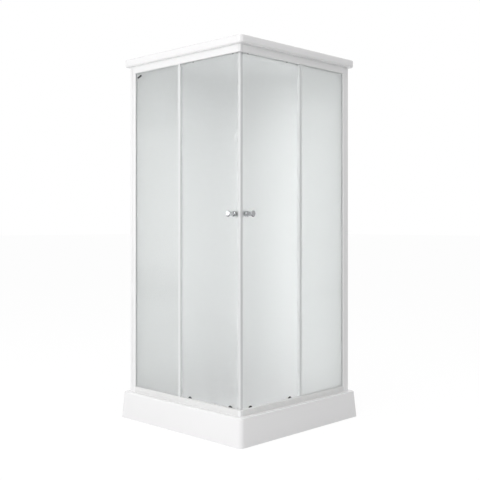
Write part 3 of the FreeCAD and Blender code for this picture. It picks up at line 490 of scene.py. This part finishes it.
def trap_plastic(place):
    """Moulded polypropylene, a little uneven in tone and sheen."""
    return {
        "Base Color": tinted(place.noise(0.03), (0.80, 0.80, 0.78), 0.025),
        "Roughness": 0.42 + place.noise(0.008) * 0.12,
        "Normal": bumped(place.noise(0.0007), 0.00004),
    }


chrome = finish_of("chrome_plate", chrome_plate)
dress(chrome, "waste_flange", "waste_cover")
dress(finish_of("trap_plastic", trap_plastic), "trap")


# ---- Bottom rails and headers ----
# Aluminium extrusions with a white powder coat, sawn square at the post and at 45 degrees towards the
# near corner. Outside is the groove for the fixed pane, inside the rib that the doors' wheels run on.
sides = ("left", "right")
frame_half = 0.411
rail_depth, rail_wall = 0.044, 0.0016
groove_near, groove_far, groove_lip = 0.005, 0.015, 0.004
rib_near, rib_far = 0.0345, 0.0365
rail_top, rail_inner_top, rail_rib_top = 0.163, 0.147, 0.150
header_foot, header_rib_top, frame_top = 1.827, 1.830, 1.862
# The rounding of the sawn and drawn edges, of the rib that the wheels run on, and of the outer face.
fine_edge, rib_edge, face_edge = 0.0004, 0.001, 0.002
connector_reach, stile_edge = 0.017, 0.783


def at(side, s, t, z):
    """Places on a glazed side: s runs along the frame from the near corner, t runs inwards from its outer
    face and z is the height. The right side is the left one in a mirror that stands on the diagonal."""
    s, t, z = np.broadcast_arrays(s, t, z)
    along, inwards = frame_half - s, t - frame_half
    pair = [along, inwards, z] if side == "left" else [-inwards, -along, z]
    return np.stack(pair, axis=-1)


def bar(side, outline, start, end):
    """A straight bar along a side: its outline, in t and height, repeated at both ends. An end may be a
    row of distances, one for each point of the outline, as on a mitre."""
    t, z = outline.T
    return np.stack([at(side, start, t, z), at(side, end, t, z)])


def powder_coat(shade):
    """Satin white powder coat, with its fine orange peel."""
    def build(place):
        return {
            "Base Color": tinted(place.noise(0.30), shade, 0.010),
            "Roughness": 0.34 + place.noise(0.015) * 0.10,
            "Normal": bumped(place.noise(0.0012), 0.00004),
        }
    return build


# The frame, the headers and the rails are one white powder coat. The headers' copy is painted lighter, as
# painted light against the shade under the roof's overhang. The rails' copy is painted darker, as painted
# shade for the light that falls off near the floor.
frame_white = finish_of("frame_white", powder_coat((0.90, 0.897, 0.90)))
header_white_painted_light = finish_of("header_white_painted_light", powder_coat((0.93, 0.927, 0.93)))
rail_white_painted_shade = finish_of("rail_white_painted_shade", powder_coat((0.79, 0.79, 0.785)))
groove_wall, inner_wall = groove_far + rail_wall, rail_depth - rail_wall
rail_floor, header_floor, header_ceiling = rim + rail_wall, header_foot + rail_wall, frame_top - rail_wall
rail_outline = eased([
    (0, rim, fine_edge), (rail_depth, rim, fine_edge), (rail_depth, rail_inner_top, fine_edge),
    (inner_wall, rail_inner_top, fine_edge), (inner_wall, rail_floor, fine_edge),
    (rib_far, rail_floor, fine_edge), (rib_far, rail_rib_top, rib_edge), (rib_near, rail_rib_top, rib_edge),
    (rib_near, rail_floor, fine_edge), (groove_wall, rail_floor, fine_edge),
    (groove_wall, rail_top, fine_edge), (groove_far, rail_top, fine_edge),
    (groove_far, rail_floor, fine_edge), (rail_wall, rail_floor, fine_edge),
    (rail_wall, rail_top - groove_lip, fine_edge), (groove_near, rail_top - groove_lip, fine_edge),
    (groove_near, rail_top, fine_edge), (0, rail_top, face_edge),
])
header_outline = eased([
    (0, header_foot, face_edge), (groove_near, header_foot, fine_edge),
    (groove_near, header_foot + groove_lip, fine_edge), (rail_wall, header_foot + groove_lip, fine_edge),
    (rail_wall, header_ceiling, fine_edge), (groove_far, header_ceiling, fine_edge),
    (groove_far, header_foot, fine_edge), (groove_wall, header_foot, fine_edge),
    (groove_wall, header_ceiling, fine_edge), (inner_wall, header_ceiling, fine_edge),
    (inner_wall, header_floor, fine_edge), (rib_far, header_floor, fine_edge),
    (rib_far, header_rib_top, rib_edge), (rib_near, header_rib_top, rib_edge),
    (rib_near, header_foot, fine_edge), (rail_depth, header_foot, fine_edge),
    (rail_depth, frame_top, fine_edge), (0, frame_top, fine_edge),
])
for side in sides:
    for name, outline, finish in (("bottom_rail", rail_outline, rail_white_painted_shade),
                                  ("header", header_outline, header_white_painted_light)):
        mitre = connector_reach + outline[:, 0]
        piece(name + "_bar_" + side, [bar(side, outline, mitre, stile_edge)], "root",
              [name + "_" + side], finish)


# ---- Corner connectors ----
# White moulded corners that join the rails and the headers at the near corner. Each shows as a short
# arm in line with the rail on each side, and a fine joint shows where the two meet.
def corner_run(outline, soft, steps=5):
    """The outline carried from one side to the other round the near corner. In plan each of its points
    runs to the mitre, bends there in a parabola that starts soft metres before it, and runs on."""
    t, z = outline.T
    ends = [at(side, t + connector_reach, t, z) for side in sides]
    start, finish = (at(side, t + soft, t, z) for side in sides)
    corner = at("left", t, t, z)
    bend = parabola(start, corner, finish, np.linspace(0, 1, steps + 1)[:, None, None])
    return np.concatenate([ends[0][None], bend, ends[1][None]])


def corner_moulding(place):
    """White moulding with a fine spark-eroded grain."""
    return {
        "Base Color": tinted(place.noise(0.05), (0.86, 0.86, 0.865), 0.015),
        "Roughness": 0.44 + place.noise(0.003) * 0.12,
        "Normal": bumped(place.noise(0.0006), 0.00004),
    }


moulded_white = finish_of("corner_moulding", corner_moulding)
connector_wall, moulded_edge, corner_softness = 0.004, 0.0006, 0.0022
arm_floor, arm_ceiling = rim + connector_wall, frame_top - connector_wall
arm_wall = rail_depth - connector_wall
bottom_corner_outline = eased([
    (0, rim, moulded_edge), (rail_depth, rim, moulded_edge), (rail_depth, rail_inner_top, moulded_edge),
    (arm_wall, rail_inner_top, moulded_edge), (arm_wall, arm_floor, moulded_edge),
    (groove_wall, arm_floor, moulded_edge), (groove_wall, rail_top, moulded_edge), (0, rail_top, face_edge),
])
top_corner_outline = eased([
    (0, header_foot, face_edge), (groove_wall, header_foot, moulded_edge),
    (groove_wall, arm_ceiling, moulded_edge), (arm_wall, arm_ceiling, moulded_edge),
    (arm_wall, header_foot, moulded_edge), (rail_depth, header_foot, moulded_edge),
    (rail_depth, frame_top, moulded_edge), (0, frame_top, moulded_edge),
])
piece("bottom_corner_moulding", [corner_run(bottom_corner_outline, corner_softness)], "root",
      ["bottom_corner"], moulded_white)
piece("top_corner_moulding", [corner_run(top_corner_outline, corner_softness)], "root",
      ["top_corner"], moulded_white)
dress(moulded_white, "groove_fillers")


# ---- Posts ----
# At the far end of each glazed side a hollow stile slides into a channel, and screws inside the cabin
# lock the two. Both are powder-coated extrusions, with a shadow line where one enters the other.
def upright(side, outline, foot, head):
    """An upright bar: its outline, in s and t, repeated at its foot and its head."""
    s, t = outline.T
    return np.stack([at(side, s, t, foot), at(side, s, t, head)])


side_length = 2 * frame_half
channel_reach, channel_depth, channel_wall = 0.017, 0.030, 0.0015
stile_near, stile_far, stile_slack, stile_groove = 0.0018, 0.0282, 0.0036, 0.0145
stile_edge_bend, lip_edge, inner_edge = 0.0012, 0.0005, 0.0003
channel_face, channel_back = side_length - channel_reach, side_length - channel_wall
stile_end, groove_end = side_length - stile_slack, stile_edge + stile_groove
channel_outline = eased([
    (channel_face, 0, lip_edge), (side_length, 0, face_edge), (side_length, channel_depth, face_edge),
    (channel_face, channel_depth, lip_edge), (channel_face, channel_depth - channel_wall, lip_edge),
    (channel_back, channel_depth - channel_wall, inner_edge), (channel_back, channel_wall, inner_edge),
    (channel_face, channel_wall, lip_edge),
])
stile_outline = eased([
    (stile_edge, stile_near, stile_edge_bend), (stile_end, stile_near, fine_edge),
    (stile_end, stile_far, fine_edge), (stile_edge, stile_far, stile_edge_bend),
    (stile_edge, groove_far, lip_edge), (groove_end, groove_far, fine_edge),
    (groove_end, groove_near, fine_edge), (stile_edge, groove_near, lip_edge),
])
for side in sides:
    piece("wall_channel_" + side, [upright(side, channel_outline, rim, frame_top)], "root",
          ["wall_profile_" + side], frame_white)
    piece("stile_bar_" + side, [upright(side, stile_outline, rim, frame_top)], "root",
          ["stile_" + side], frame_white)


# ---- Fixed panes, their rubber and seals ----
# Toughened glass 5 mm thick, smooth outside and etched inside, held in the frame by pale glazing rubber.
# A milky seal on the free edge wipes the door.
fixed_pane_far = 0.0125
etch_start, etch_full = 0.0006, 0.0002


def etched_glass(inner_face, tint, index, clearness):
    """Glass whose face at that distance inwards is etched. The etch is even but for a faint cloud."""
    def build(place):
        depth = (place.axis("Y") + frame_half).least(frame_half - place.axis("X"))
        etched = depth.step(inner_face - etch_start, inner_face - etch_full)
        cloud = place.noise(0.25)
        return {
            "Base Color": tinted(cloud, tint, 0.005),
            "Roughness": 0.09 + etched * (0.78 + cloud * 0.06),
            "IOR": index,
            "Transmission Weight": clearness,
            "Normal": bumped(place.noise(0.0007) * etched, 0.000006),
        }
    return build


def glazing_rubber(place):
    """Pale grey rubber, drawn in streaks along its length and a little dusty."""
    streaks = (place * (1, 1, 0.08)).noise(0.0012)
    return {
        "Base Color": tinted(streaks, (0.82, 0.83, 0.83), 0.06),
        "Roughness": 0.58 + place.noise(0.01) * 0.18,
        "Normal": bumped(streaks, 0.00005),
    }


def clear_seal(place):
    """Soft milky vinyl, with the fine lines of its extrusion running upwards."""
    lines = (place * (1, 1, 0.02)).noise(0.0010)
    return {
        "Base Color": tinted(lines, (0.90, 0.915, 0.915), 0.02),
        "Roughness": 0.40 + lines * 0.12,
        "IOR": 1.2,
        "Transmission Weight": 0.12,
        "Normal": bumped(lines, 0.00005),
    }


fixed_pane = finish_of("fixed_pane_glass",
                       etched_glass(fixed_pane_far, (0.940, 0.952, 0.948), index=1.26, clearness=0.94))
dress(fixed_pane, "fixed_glass_left", "fixed_glass_right")
dress(finish_of("glazing_rubber", glazing_rubber), "glazing_gasket_left", "glazing_gasket_right")
vinyl = finish_of("clear_seal", clear_seal)
dress(vinyl, "fixed_seal_left", "fixed_seal_right")


# ---- Clip on the left pane ----
# A small dark nylon button near the head of the left pane. It is longer than it is high, sits a little
# askew, its edge is rounded over, and its pin goes through a hole in the glass.
clip_s, clip_z = stile_edge - 0.030, header_foot - 0.022
clip_half_length, clip_radius, clip_tilt = 0.017, 0.005, math.radians(18.0)
pin_start, pin_end, pin_radius = 0.0063, 0.0122, 0.004


def dark_nylon(place):
    """Moulded nylon, a little uneven in sheen."""
    return {
        "Base Color": tinted(place.noise(0.004), (0.040, 0.040, 0.043), 0.15),
        "Roughness": 0.38 + place.noise(0.002) * 0.14,
        "Normal": bumped(place.noise(0.0006), 0.00004),
    }


def make_clip(s_middle, z_middle, half_length, radius, tilt, steps=20):
    """A capsule outline, two half circles joined by straight runs, at six stations through the thickness.
    At each it shrinks by inset, as a rounded edge needs, and the whole is turned by tilt."""
    angle = np.concatenate([np.linspace(-90, 90, steps), np.linspace(90, 270, steps)])
    end = np.repeat([1.0, -1.0], steps) * (half_length - radius)
    inset = np.array([radius, 0.0016, 0.0005, 0.0, 0.0, radius])[:, None]
    depth = np.array([0.0047, 0.0047, 0.0051, 0.0063, 0.0075, 0.0075])[:, None]
    along = end + (radius - inset) * np.cos(np.radians(angle))
    up = (radius - inset) * np.sin(np.radians(angle))
    s = s_middle + along * math.cos(tilt) + up * math.sin(tilt)
    z = z_middle - along * math.sin(tilt) + up * math.cos(tilt)
    return at("left", s, depth, z)


def turned(side, profile, s, z, six_sided=False, steps=48):
    """A round piece whose axis crosses the side: its profile, in t and radius, goes round in a circle. Rows
    that are six-sided have their radius divided by the cosine of the angle to the nearest flat."""
    t, radius = np.asarray(profile, float).T[:, :, None]
    turn = np.linspace(0, 2 * math.pi, steps, endpoint=False)
    flats = 1 / np.cos((turn + math.pi / 6) % (math.pi / 3) - math.pi / 6)
    radius = radius * (1 + np.reshape(six_sided, (-1, 1)) * (flats - 1))
    return at(side, s + radius * np.cos(turn), t, z + radius * np.sin(turn))


nylon = finish_of("dark_nylon", dark_nylon)
clip_plate = make_clip(clip_s, clip_z, clip_half_length, clip_radius, clip_tilt)
pin_profile = [(pin_start, 0.0), (pin_start, pin_radius), (pin_end, pin_radius), (pin_end, 0.0)]
clip_pin = turned("left", pin_profile, clip_s, clip_z)
piece("pane_button", [clip_plate, clip_pin], "root", ["glass_clip"], nylon, capped=False)


# ---- Sliding doors ----
# The same glass, in a copy tinted lighter and made clearer than the fixed panes': painted light. The
# front edge carries a white profile with a magnet behind its mitred face, which meets the other door's
# at the corner. The rear edge carries a milky seal.
pane_near, pane_far, pane_edge = 0.022, 0.027, 0.0305
profile_wall, profile_end, mitre_gap = 0.0015, 0.0355, 0.0002
profile_foot, profile_head = 0.143, 1.850
mitre_edge, rear_edge = 0.0006, 0.0007
profile_near, profile_far = pane_near - profile_wall, pane_far + profile_wall
edge_profile_outline = eased([
    (profile_near + mitre_gap, profile_near, mitre_edge), (profile_end, profile_near, rear_edge),
    (profile_end, pane_near, lip_edge), (pane_edge, pane_near, inner_edge),
    (pane_edge, pane_far, inner_edge), (profile_end, pane_far, lip_edge),
    (profile_end, profile_far, rear_edge), (profile_far + mitre_gap, profile_far, mitre_edge),
])
# The doors' copy of the etched glass has a lighter tint and lets more light through than the fixed panes':
# painted light, so that the doors read brighter.
door_pane_painted_light = finish_of("door_pane_glass",
                      etched_glass(pane_far, (0.980, 0.990, 0.988), index=1.12, clearness=0.995))
edge_white = finish_of("edge_profile_white", powder_coat((0.74, 0.745, 0.75)))


def magnet_rubber(place):
    """Dark rubber, drawn in streaks along its length."""
    streaks = (place * (1, 1, 0.05)).noise(0.0010)
    return {
        "Base Color": tinted(streaks, (0.085, 0.080, 0.075), 0.15),
        "Roughness": 0.55 + streaks * 0.15,
        "Normal": bumped(streaks, 0.00004),
    }


magnet = finish_of("magnet_rubber", magnet_rubber)
for side in sides:
    dress(door_pane_painted_light, "door_glass_" + side)
    dress(vinyl, "door_rear_seal_" + side)
    dress(magnet, "door_magnet_" + side)
    piece("edge_bar_" + side, [upright(side, edge_profile_outline, profile_foot, profile_head)],
          side + "_door", ["door_edge_profile_" + side], edge_white)


# ---- Rollers ----
# Each wheel is natural nylon with a groove that rides the rib, on a turned steel axle that goes through
# the glass. Outside, a dark nylon cap with a six-sided socket clamps it.
def wheel_nylon(place):
    """Natural nylon, a little uneven in tone and sheen."""
    return {
        "Base Color": tinted(place.noise(0.006), (0.82, 0.81, 0.76), 0.03),
        "Roughness": 0.40 + place.noise(0.002) * 0.15,
        "Normal": bumped(place.noise(0.0007), 0.00003),
    }


def turned_steel(place):
    """Stainless steel with the fine marks of the lathe."""
    marks = place.noise(0.0008)
    return {
        "Base Color": tinted(marks, (0.64, 0.65, 0.66), 0.05),
        "Metallic": 1.0,
        "Roughness": 0.24 + marks * 0.12,
        "Normal": bumped(marks, 0.00002),
    }


cap_radius, cap_shoulder, cap_front, front_radius = 0.012, 0.0195, 0.0174, 0.0098
cap_hem, cap_bend = 0.0003, 0.0012
socket_mouth, socket_radius, socket_chamfer, socket_depth = 0.0034, 0.0031, 0.0002, 0.0008
cap_body = eased([
    (pane_near, 0.0, 0), (pane_near, cap_radius, cap_hem), (cap_shoulder, cap_radius, cap_bend),
    (cap_front, front_radius, cap_bend), (cap_front, socket_mouth, 0),
], closed=False)
cap_socket = [(cap_front + socket_chamfer, socket_radius), (cap_front + socket_depth, socket_radius),
              (cap_front + socket_depth, 0.0)]
cap_profile = np.concatenate([cap_body, cap_socket])
socket_rows = np.arange(len(cap_profile)) >= len(cap_body) - 1
running_radius, running_gap = 0.008, 0.0003
upper_wheels = header_rib_top + running_gap + running_radius
lower_wheels = rail_rib_top + running_gap + running_radius
roller_places = {"top_front": (0.072, upper_wheels), "top_rear": (0.349, upper_wheels),
                 "bottom_front": (0.088, lower_wheels), "bottom_rear": (0.371, lower_wheels)}
steel = finish_of("turned_steel", turned_steel)
wheel_finish = finish_of("wheel_nylon", wheel_nylon)
for side in sides:
    dress(steel, "roller_axles_" + side, "knob_fixings_" + side)
    dress(wheel_finish, *["wheel_" + place + "_" + side for place in roller_places])
    piece("roller_nuts_" + side,
          [turned(side, cap_profile, s, z, socket_rows) for s, z in roller_places.values()],
          side + "_door", ["roller_caps_" + side], nylon, capped=False)


# ---- Stops ----
# A block of black rubber sits astride the rib in each header, where the rear wheel ends its travel.
def stop_rubber(place):
    """Moulded black rubber, dull and slightly grained."""
    return {
        "Base Color": tinted(place.noise(0.003), (0.045, 0.045, 0.045), 0.15),
        "Roughness": 0.62 + place.noise(0.004) * 0.15,
        "Normal": bumped(place.noise(0.0008), 0.00006),
    }


dress(finish_of("stop_rubber", stop_rubber), "door_stops")


# ---- Knobs ----
# Chrome-plated brass, turned as a spool: a drum against the glass, a neck, and a body that flares to a
# crowned end. A stud through the glass holds a low round knob inside.
knob_s, knob_z, knob_washer = 0.058, 1.075, 0.001
outer_foot, inner_foot = pane_near - knob_washer, pane_far + knob_washer
drum_radius, inner_radius = 0.013, 0.015
outer_profile = eased([
    (outer_foot, 0.0, 0),
    (outer_foot, drum_radius, 0.001),   # the drum, from its washer
    (0.0095, drum_radius, 0.001),       # to its front edge
    (0.0070, 0.0070, 0.0024),           # the neck
    (0.0045, 0.0108, 0.0008),           # the body's rear edge
    (-0.0130, 0.0110, 0.009),           # where it starts to flare
    (-0.0268, 0.0158, 0.003),           # its widest place
    (-0.028, 0.006, 0.004),             # its crowned end
    (-0.028, 0.0, 0),
], closed=False, steps=7)
inner_profile = eased([
    (inner_foot, 0.0, 0),
    (inner_foot, drum_radius, 0.0005),  # the foot, from its washer
    (0.034, inner_radius, 0.002),       # the widest place
    (0.040, inner_radius, 0.003),       # the rounded end
    (0.040, 0.0, 0),
], closed=False, steps=7)
for side in sides:
    for name, profile in (("outer_knob", outer_profile), ("inner_knob", inner_profile)):
        piece(name + "_spool_" + side, [turned(side, profile, knob_s, knob_z, steps=72)], side + "_door",
              [name + "_" + side], chrome, capped=False)


# ---- Back walls ----
# Two sheets of white acrylic stand in powder-coated channels, and a rounded upright holds both at the
# back corner.
def panel_acrylic(place):
    """Glossy white acrylic sheet, not quite flat."""
    return {
        "Base Color": tinted(place.noise(0.4), (0.945, 0.950, 0.952), 0.008),
        "Roughness": 0.17 + place.noise(0.05) * 0.06,
        "Normal": bumped(place.noise(0.12, 1.0), 0.0003),
        "Coat Weight": 0.2,
    }


panel_white = finish_of("panel_acrylic", panel_acrylic)
dress(panel_white, "back_panel_left", "back_panel_right")
dress(frame_white, "back_channels", "back_corner")


# ---- Roof ----
# A vacuum-formed acrylic lid with rounded edges that overhangs the frame all round, stiffened by a grid
# of ribs and closed from below by a flat liner.
roof_half, roof_centre, roof_top, lid_skin = 0.436, 0.414, 1.900, 0.004
lid_flat, lip_height, lip_inset, tightest_corner = 0.420, 0.0065, 0.0034, 0.006
lid_bend, lip_bend, lip_edge_bend = 0.0070, 0.0034, 0.0002
roof_inner = roof_half - lid_skin
lid_cut = eased([
    (lid_flat, roof_top, 0), (roof_half, roof_top, lid_bend), (roof_half, frame_top + lip_height, lip_bend),
    (roof_half - lip_inset, frame_top, lip_edge_bend), (roof_inner, frame_top, lip_edge_bend),
    (roof_inner, roof_top - lid_skin, 0),
], closed=False, steps=7)
rib_pitch, rib_thickness, rib_overlap, liner_thickness = 0.180, 0.004, 0.001, 0.003


def roof_ribs():
    """Upright strips from wall to wall, five each way. Their ends and tops run a little into the lid."""
    foot, head = frame_top + liner_thickness, roof_top - lid_skin + rib_overlap
    height = np.array([foot, foot, head, head])
    reach = roof_inner + rib_overlap
    strips = []
    for offset in rib_pitch * np.arange(-2, 3):
        across = offset + np.array([-1, 1, 1, -1]) * rib_thickness / 2
        ends = [np.full(4, end) for end in (-reach, reach)]
        strips.append(np.stack([np.stack([end, across, height], -1) for end in ends]))
        strips.append(np.stack([np.stack([across, end, height], -1) for end in ends]))
    return strips


corner_centres = np.minimum(roof_centre, lid_cut[:, 0] - tightest_corner)
piece("roof_lid", [rings(*lid_cut.T, corner_centres)] + roof_ribs(), "root", ["roof_cap"],
      acrylic)
dress(panel_white, "roof_liner")


# ---- The end ----
# The view layer is brought up to date.
bpy.context.view_layer.update()
